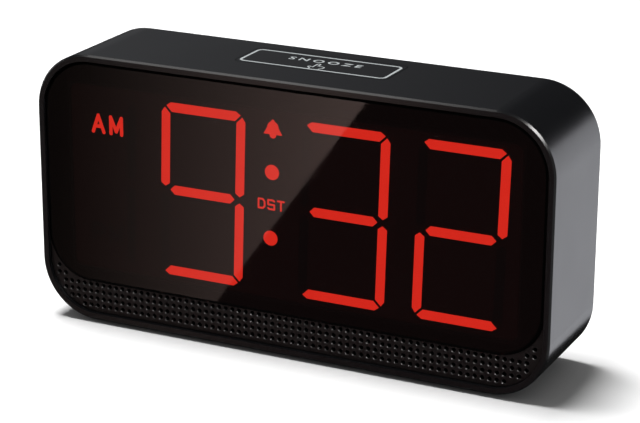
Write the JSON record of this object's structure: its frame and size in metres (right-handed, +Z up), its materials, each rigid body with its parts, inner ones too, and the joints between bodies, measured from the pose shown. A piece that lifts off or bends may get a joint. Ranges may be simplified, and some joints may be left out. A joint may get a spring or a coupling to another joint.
{
  "type": "clock radio",
  "caption": "Bedside clock radio with a rounded case, a smoked display window over a speaker grille, a snooze key on top and keys, sockets and a battery door behind.",
  "frame": {"origin": "on the surface it stands on, under the middle of the bounding box", "axes": "+X to the right seen from the front, +Y from front to back, +Z up"},
  "size_m": [0.156, 0.0364, 0.08],
  "materials": {
    "satin_black_case": "fine satin moulded plastic",
    "brown_black_grille": "satin moulded plastic",
    "smoked_lens": "polished smoked acrylic",
    "black_tape": "foam tape",
    "black_cloth": "open weave dust cloth",
    "black_cover": "fine spark-eroded texture",
    "black_screws": "black oxide",
    "plated_screws": "zinc plated",
    "black_rubber": "matt rubber",
    "grey_keys": "satin moulded plastic",
    "switch_plastic": "moulded nylon",
    "tin_plate": "tin plated",
    "green_board": "solder resist on glass laminate",
    "chip_black": "moulded epoxy",
    "capacitor_sleeve": "shrink sleeve",
    "black_foam": "closed-cell foam",
    "speaker_steel": "black painted pressing",
    "speaker_rubber": "soft rubber roll",
    "paper_cone": "pressed paper pulp",
    "copper_coil": "enamelled copper",
    "magnet_steel": "nickel plated",
    "wire_red": "PVC insulation",
    "wire_black": "PVC insulation",
    "ribbon_white": "flat flexible cable",
    "plug_ivory": "moulded nylon",
    "reflector_black": "matt black moulding",
    "led_body": "clear epoxy",
    "lit_red": "translucent diffuser, lit",
    "unlit_smoke": "translucent diffuser, dark"
  },
  "bodies": {
    "case": {"aerial_wire": "wire_black", "alarm_switch": "tin_plate", "am_icon": "lit_red", "amplifier_chip": "chip_black", "battery_contacts": "tin_plate", "battery_springs": "tin_plate", "bell_icon": "lit_red", "board_screws": "plated_screws", "capacitors": "capacitor_sleeve", "case_screws": "black_screws", "clock_chip": "chip_black", "colon_dots": "lit_red", "dark_segments": "unlit_smoke", "dc_jack": "switch_plastic", "dimmer_pot": "switch_plastic", "display_board": "green_board", "display_leds": "led_body", "display_lens": "smoked_lens", "display_reflector": "reflector_black", "display_ribbon": "ribbon_white", "dst_icon": "lit_red", "feet": "black_rubber", "front_panel": "brown_black_grille", "grille_cloth": "black_cloth", "hour_segments": "lit_red", "lens_tape": "black_tape", "main_board": "green_board", "minute_segments": "lit_red", "outer_sleeve": "satin_black_case", "rear_cover": "black_cover", "ribbon_plugs": "plug_ivory", "snooze_board": "green_board", "speaker_cone": "paper_cone", "speaker_frame": "speaker_steel", "speaker_gasket": "black_foam", "speaker_magnet": "magnet_steel", "speaker_surround": "speaker_rubber", "speaker_wires": "wire_red", "tact_switches": "switch_plastic", "ten_minute_segments": "lit_red", "tuner_can": "tin_plate", "tuner_chip": "chip_black", "usb_port": "tin_plate", "voice_coil": "copper_coil"},
    "snooze": {"snooze_key": "satin_black_case", "snooze_plunger": "switch_plastic"},
    "time_key_body": {"time_key": "grey_keys", "time_key_plunger": "switch_plastic"},
    "alarm_key_body": {"alarm_key": "grey_keys", "alarm_key_plunger": "switch_plastic"},
    "radio_key_body": {"radio_key": "grey_keys", "radio_key_plunger": "switch_plastic"},
    "down_key_body": {"down_key": "grey_keys", "down_key_plunger": "switch_plastic"},
    "up_key_body": {"up_key": "grey_keys", "up_key_plunger": "switch_plastic"},
    "dimmer": {"dimmer_dial": "grey_keys"},
    "alarm_switch_knob": {"alarm_slider": "grey_keys"},
    "door": {"battery_door": "black_cover"}
  },
  "joints": [
    {"name": "snooze_press", "type": "slide", "parent": "case", "child": "snooze", "axis": [0, 0, -1], "range_m": [0, 0.0005], "stiffness_N_per_m": 1500, "springref_m": -0.0004},
    {"name": "time_key_press", "type": "slide", "parent": "case", "child": "time_key_body", "axis": [0, -1, 0], "range_m": [0, 0.0005], "stiffness_N_per_m": 1500, "springref_m": -0.0004},
    {"name": "alarm_key_press", "type": "slide", "parent": "case", "child": "alarm_key_body", "axis": [0, -1, 0], "range_m": [0, 0.0005], "stiffness_N_per_m": 1500, "springref_m": -0.0004},
    {"name": "radio_key_press", "type": "slide", "parent": "case", "child": "radio_key_body", "axis": [0, -1, 0], "range_m": [0, 0.0005], "stiffness_N_per_m": 1500, "springref_m": -0.0004},
    {"name": "down_key_press", "type": "slide", "parent": "case", "child": "down_key_body", "axis": [0, -1, 0], "range_m": [0, 0.0005], "stiffness_N_per_m": 1500, "springref_m": -0.0004},
    {"name": "up_key_press", "type": "slide", "parent": "case", "child": "up_key_body", "axis": [0, -1, 0], "range_m": [0, 0.0005], "stiffness_N_per_m": 1500, "springref_m": -0.0004},
    {"name": "dimmer_turn", "type": "hinge", "parent": "case", "child": "dimmer", "pos_m": [0.054, 0.01725, 0.0585], "axis": [0, 1, 0], "range_deg": [-135, 135]},
    {"name": "alarm_slide", "type": "slide", "parent": "case", "child": "alarm_switch_knob", "axis": [1, 0, 0], "range_m": [0, 0.003]},
    {"name": "door_hinge", "type": "hinge", "parent": "case", "child": "door", "pos_m": [0, 0.01625, 0.007], "axis": [-1, 0, 0], "range_deg": [0, 95]}
  ]
}
